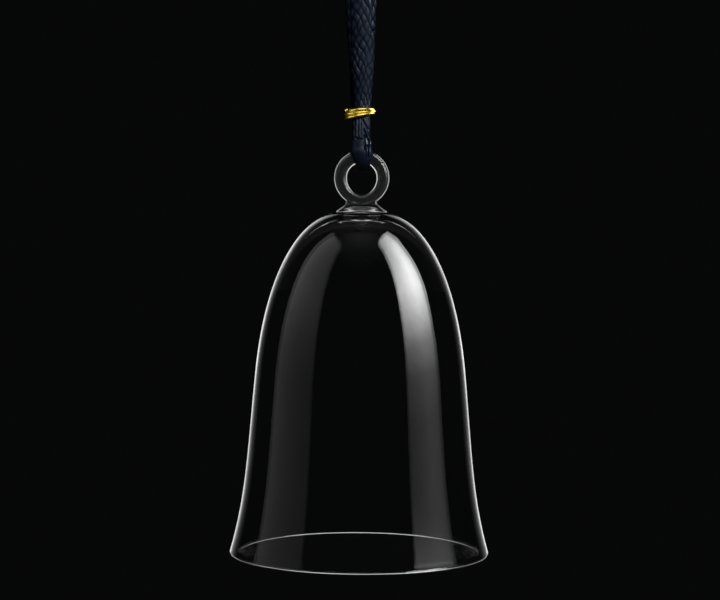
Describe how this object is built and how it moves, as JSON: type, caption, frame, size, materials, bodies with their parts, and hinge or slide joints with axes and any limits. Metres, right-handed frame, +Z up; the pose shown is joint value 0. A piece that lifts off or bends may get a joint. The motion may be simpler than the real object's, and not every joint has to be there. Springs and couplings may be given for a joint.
{
  "type": "glass bell",
  "caption": "Clear blown glass bell with a flared mouth, hung by its glass ring from a doubled navy lace that a gold wire gathers.",
  "frame": {"origin": "hanging point, on the inner side of the top of the lace loop", "axes": "+Z up along the bell's axis, +X to the right and +Y away from the viewer in the picture"},
  "size_m": [0.05, 0.05, 0.1168],
  "materials": {
    "clear_glass": "clear blown glass, fire-polished",
    "navy_lace": "waxed navy braid",
    "gold_wire": "drawn gold-coloured wire"
  },
  "bodies": {
    "hanger": {"lace_upper_loop": "navy_lace"},
    "tie": {"lace_waist": "navy_lace", "wire_tie": "gold_wire"},
    "bend": {"lace_lower_loop": "navy_lace"},
    "bell": {"bell_shell": "clear_glass", "ring_foot": "clear_glass", "hanging_ring": "clear_glass"}
  },
  "joints": [
    {"name": "bell_turn", "type": "hinge", "parent": "hanger", "child": "tie", "pos_m": [0, 0, -0.0276], "axis": [0, 0, 1], "range_deg": [-90, 90]},
    {"name": "lace_lean", "type": "hinge", "parent": "tie", "child": "bend", "pos_m": [0, 0, -0.03381], "axis": [0, 1, 0], "range_deg": [-25, 25]},
    {"name": "bell_swing", "type": "hinge", "parent": "bend", "child": "bell", "pos_m": [0, 0, -0.038], "axis": [1, 0, 0], "range_deg": [-70, 70]}
  ]
}
